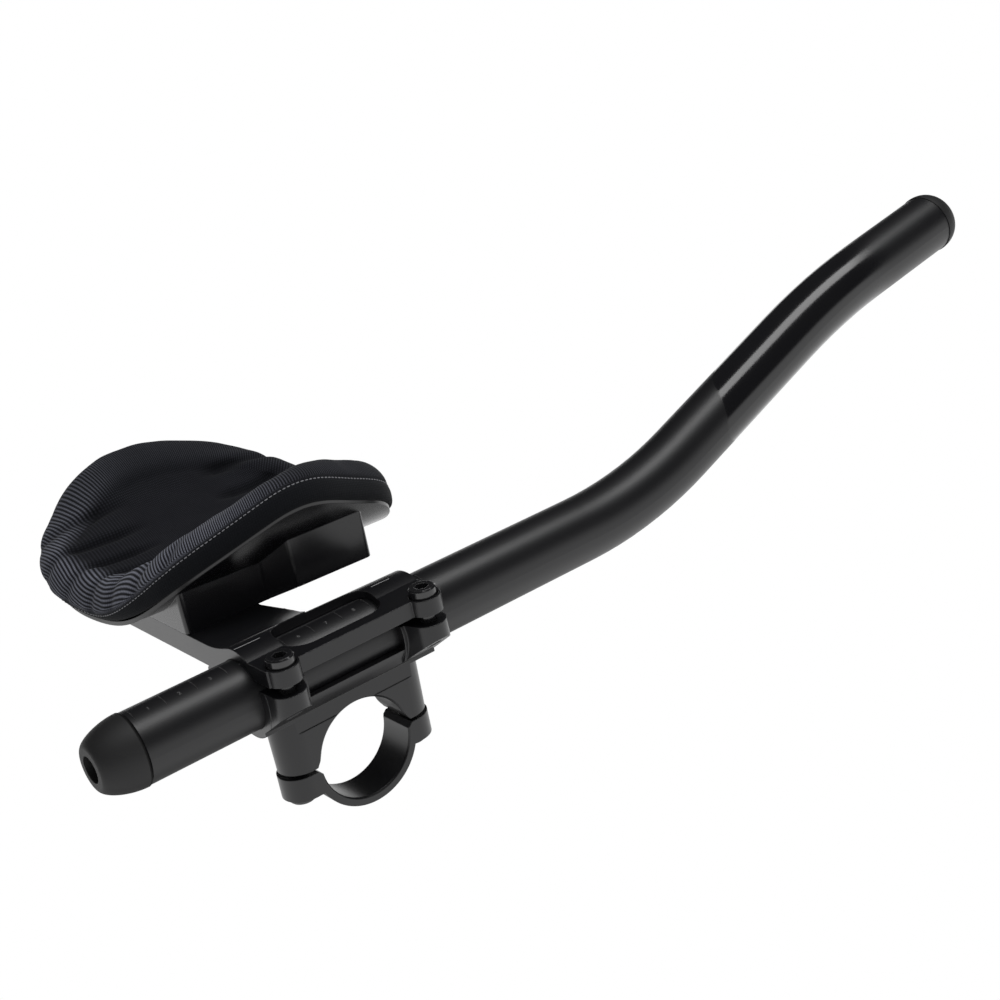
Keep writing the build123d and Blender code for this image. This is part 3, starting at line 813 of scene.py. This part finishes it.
def sewPad(mesh):
    # Sewn channels in two rows on the crown, and slight unevenness of the foam
    places = readLayer(mesh.vertices, "co", 3)
    normals = readLayer(mesh.vertex_normals, "vector", 3)
    u, v = readLayer(mesh.attributes["flatPlace"].data, "vector", 3)[:, :2].T
    crown = readLayer(mesh.attributes["crown"].data, "value")
    roll = readLayer(mesh.attributes["roll"].data, "value")
    pitch, fade = pad["groovePitch"], pad["grooveFade"]
    off = (u - pad["grooveShift"] + pitch / 2) % pitch - pitch / 2
    across = np.exp(-(off / pad["grooveHalf"]) ** 2) * (np.abs(u) < pad["grooveReach"])
    depth = np.zeros(len(places))
    for low, high in pad["grooveRows"]:
        ends = np.clip((v - low) / fade, 0, 1) * np.clip((high - v) / fade, 0, 1)
        depth = np.maximum(depth, across * ends)
    depth *= (crown > 0.99) * (1 - np.clip(roll, 0, 1) * pad["rollFill"])  # none below the seam
    lumps = np.array([noise.noise(Vector(place) * pad["creaseScale"]) for place in places.tolist()])
    shift = lumps * pad["crease"] * np.clip(crown, 0, 1) - depth * pad["grooveDepth"]
    places += normals * shift[:, None].astype(np.float32)
    mesh.vertices.foreach_set("co", places.ravel())
    mesh.attributes.remove(mesh.attributes["flatPlace"])
    addMask(mesh, "channel", depth)
    mesh.update()


padCover, seamPath = buildPad()
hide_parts("armrest_pad")
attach(padCover, "bracket")
print("pad made:", len(padCover.data.polygons), "faces")

# Stitches of the seam between the side and the crown, in metres
thread = {
    "count": 228,
    "length": 0.00118,
    "thick": 0.00038,
    "bead": {"Segments": 8, "Rings": 6, "Radius": 0.5},
}


def addStitches():
    g = Graph("seamStitches", "geometry")
    values = {"Count": thread["count"], "Length": thread["length"], "Thickness": thread["thick"]}
    inlet = g.takes(values)
    points = g.node("GeometryNodeCurveToPoints", {"Curve": inlet["Geometry"], "Count": inlet["Count"]},
                    mode="COUNT")
    bead = g.node("GeometryNodeMeshUVSphere", thread["bead"])
    thick, length = inlet["Thickness"], inlet["Length"]
    size = g.node("ShaderNodeCombineXYZ", {0: thick, 1: thick, 2: length})
    beads = g.node("GeometryNodeInstanceOnPoints", {
        "Points": points, "Instance": bead, "Rotation": g.outputs(points)["Rotation"], "Scale": size})
    g.gives(beads, patternFinish("seamThread"))
    curve = bpy.data.curves.new("seamPath", "CURVE")
    curve.dimensions = "3D"
    line = curve.splines.new("POLY")
    line.points.add(len(seamPath) - 1)
    for spot, place in zip(line.points, seamPath):
        spot.co = (*place, 1.0)
    line.use_cyclic_u = True
    stitches = g.run(link(bpy.data.objects.new("seamPath", curve)), values, "padStitches")
    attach(stitches, "bracket")


addStitches()
print("seam sewn")

# Printed marks, in metres and in degrees from the top of the tube towards its inboard side
scaleMarks = {
    "first": -0.066,                     # first tick, along the tube
    "count": 11,
    "pitch": 0.010,
    "from": -5.0,
    "to": 22.0,
    "numberAt": 17.0,
    "numberSize": 0.0019,
    "line": -9.0,
    "width": 0.00022,
    "proud": 0.00002,
    "arcPoints": 12,
    "numberDetail": 3,
    "shade": 0.16,
}


def tubeAxis():
    # Radius of the tube and height of its straight part's axis
    low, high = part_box("extension_tube")
    radius = (high.x - low.x) / 2
    return radius, low.z + radius


def addTicks(material):
    radius, axisZ = tubeAxis()
    marks = scaleMarks
    values = {
        "Radius": radius + marks["proud"],
        "Start": math.radians(90 - marks["to"]),
        "Sweep": math.radians(marks["to"] - marks["from"]),
        "Width": marks["width"],
        "Pitch": marks["pitch"],
        "Axis height": axisZ,
        "First": marks["first"],
        "Count": marks["count"],
    }
    g = Graph("scaleTicks", "geometry")
    inlet = g.takes(values)
    arc = g.node("GeometryNodeCurveArc", {
        "Resolution": marks["arcPoints"], "Radius": inlet["Radius"], "Start Angle": inlet["Start"],
        "Sweep Angle": inlet["Sweep"]}, mode="RADIUS")
    section = g.node("GeometryNodeCurvePrimitiveQuadrilateral", {
        "Width": inlet["Width"], "Height": marks["proud"]})
    tick = g.node("GeometryNodeCurveToMesh", {"Curve": arc, "Profile Curve": section, "Fill Caps": True})
    stood = g.node("GeometryNodeTransform", {"Geometry": tick, "Rotation": (math.pi / 2, 0.0, 0.0)})
    step = g.node("ShaderNodeCombineXYZ", {1: inlet["Pitch"]})
    start = g.node("ShaderNodeCombineXYZ", {1: inlet["First"], 2: inlet["Axis height"]})
    row = g.node("GeometryNodeMeshLine", {
        "Count": inlet["Count"], "Start Location": start, "Offset": step})
    g.gives(g.node("GeometryNodeInstanceOnPoints", {"Points": row, "Instance": stood}), material)
    ticks = g.run(addMesh("scaleSource", [], [], material), values, "scaleTicks")
    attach(ticks, "extension")


def addNumbers(material):
    # A line along the scale and a small number between each two ticks, bent round the tube
    radius, axisZ = tubeAxis()
    marks = scaleMarks
    points, faces = [], []

    def place(along, angle):
        reach = radius + marks["proud"]
        points.append((reach * math.sin(angle), along, axisZ + reach * math.cos(angle)))

    for k in range(marks["count"] - 1):
        text = bpy.data.curves.new("number", "FONT")
        text.body = str(k + 1)
        text.size = marks["numberSize"]
        text.align_x = "CENTER"
        text.resolution_u = marks["numberDetail"]
        flat = settled(link(bpy.data.objects.new("number", text)), "numberFlat")
        first = len(points)
        middle, angle = marks["first"] + (k + 0.5) * marks["pitch"], math.radians(marks["numberAt"])
        for vert in flat.data.vertices:
            place(middle + vert.co.x, angle - vert.co.y / radius)
        faces += [[first + i for i in face.vertices] for face in flat.data.polygons]
        bpy.data.objects.remove(flat)
    first, angle = len(points), math.radians(marks["line"])
    half = marks["width"] / 2 / radius
    for along in (marks["first"], marks["first"] + (marks["count"] - 1) * marks["pitch"]):
        place(along, angle - half)
        place(along, angle + half)
    faces.append([first, first + 1, first + 3, first + 2])
    made = addMesh("scaleNumbers", points, faces, material)
    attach(made, "extension")


# Index lines on the cap, as spans along the tube in metres
indexMarks = {
    "spans": ((-0.0305, -0.0217), (0.0182, 0.0250)),
    "width": 0.00030,
    "proud": 0.00002,
    "steps": 12,
    "shade": 0.45,
}


def addIndexLines():
    tree = meshTree("tube_cap")
    points, faces = [], []
    for span in indexMarks["spans"]:
        for k in range(indexMarks["steps"] + 1):
            y = blend(span, k / indexMarks["steps"])
            for x in (-indexMarks["width"] / 2, indexMarks["width"] / 2):
                hit = tree.ray_cast(Vector((x, y, 1.0)), Vector((0, 0, -1)))[0]
                points.append((x, y, hit.z + indexMarks["proud"]))
            if k:
                last = len(points)
                faces.append((last - 4, last - 3, last - 1, last - 2))
    made = addMesh("indexLines", points, faces, markFinish("indexPrint", indexMarks["shade"]))
    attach(made, "bracket")


scalePrint = markFinish("scalePrint", scaleMarks["shade"])
addTicks(scalePrint)
addNumbers(scalePrint)
addIndexLines()
print("marks printed")

# Studio: sizes in metres, strengths where 1 is white
studio = {
    "floorHalf": 60.0,
    "floorLevel": -0.30,
    "floorPaint": 0.9,
    "gleam": 1.2,                        # floor and sweep as glossy surfaces see them
    "patch": (-0.20, 0.04),              # shaded floor below the cup, as glossy surfaces see it
    "patchEnds": (0.16, 0.42),
    "patchDim": 0.3,
    "fill": 0.48,
    "dim": 0.025,                        # what glossy surfaces see of the room above the white sweep
    "sweepEnds": (0.02, 0.18),           # sine of the heights where the sweep fades out
}


def grey(shade):
    return (shade, shade, shade, 1.0)


def addFloor():
    half, level = studio["floorHalf"], studio["floorLevel"]
    corners = [(-half, -half, level), (half, -half, level), (half, half, level), (-half, half, level)]
    g = Graph("studioFloor")
    x, y = (place - middle for place, middle in zip(g.split(g.place()), studio["patch"]))
    away = g.math("SQRT", x * x + y * y)
    shown = g.remap(away, studio["patchEnds"], (studio["patchDim"], 1.0), "SMOOTHSTEP") * studio["gleam"]
    strength, seen = g.backdrop(shown)
    paint = g.node("ShaderNodeBsdfDiffuse", {"Color": grey(studio["floorPaint"])})
    white = g.node("ShaderNodeEmission", {"Color": grey(1.0), "Strength": strength})
    both = g.node("ShaderNodeMixShader", {0: seen, 1: paint, 2: white})
    g.node("ShaderNodeOutputMaterial", {"Surface": both})
    addMesh("studioFloor", corners, [(0, 1, 2, 3)], g.owner)


def addWorld():
    # White all round to the camera, and a white sweep with a top edge to glossy surfaces
    g = Graph("studioWorld", "world")
    height = g.split(g.node("ShaderNodeTexCoord"))[2]
    shown = g.remap(height, studio["sweepEnds"], (studio["gleam"], studio["dim"]), "SMOOTHSTEP")
    strength, seen = g.backdrop(shown)
    fill = g.node("ShaderNodeBackground", {"Color": grey(1.0), "Strength": studio["fill"]})
    white = g.node("ShaderNodeBackground", {"Color": grey(1.0), "Strength": strength})
    both = g.node("ShaderNodeMixShader", {0: seen, 1: fill, 2: white})
    g.node("ShaderNodeOutputWorld", {"Surface": both})
    bpy.context.scene.world = g.owner


# Soft box over the front of the tube, in metres and watts
keyLamp = {
    "place": (0.21, 0.32, 1.10),
    "aim": (0.0, 0.10, 0.04),
    "size": (0.42, 1.00),
    "power": 6.8,
}


def addLamp():
    data = bpy.data.lights.new("keyLamp", "AREA")
    data.shape = "RECTANGLE"
    data.size, data.size_y = keyLamp["size"]
    data.energy = keyLamp["power"]
    back = (Vector(keyLamp["place"]) - Vector(keyLamp["aim"])).normalized()
    side = Vector((0, 1, 0)).cross(back).normalized()
    lamp = link(bpy.data.objects.new("keyLamp", data))
    stand(lamp, keyLamp["place"], side, back.cross(side), back)


addFloor()
addWorld()
addLamp()
bpy.context.scene.view_settings.view_transform = "Standard"
print("stage set")
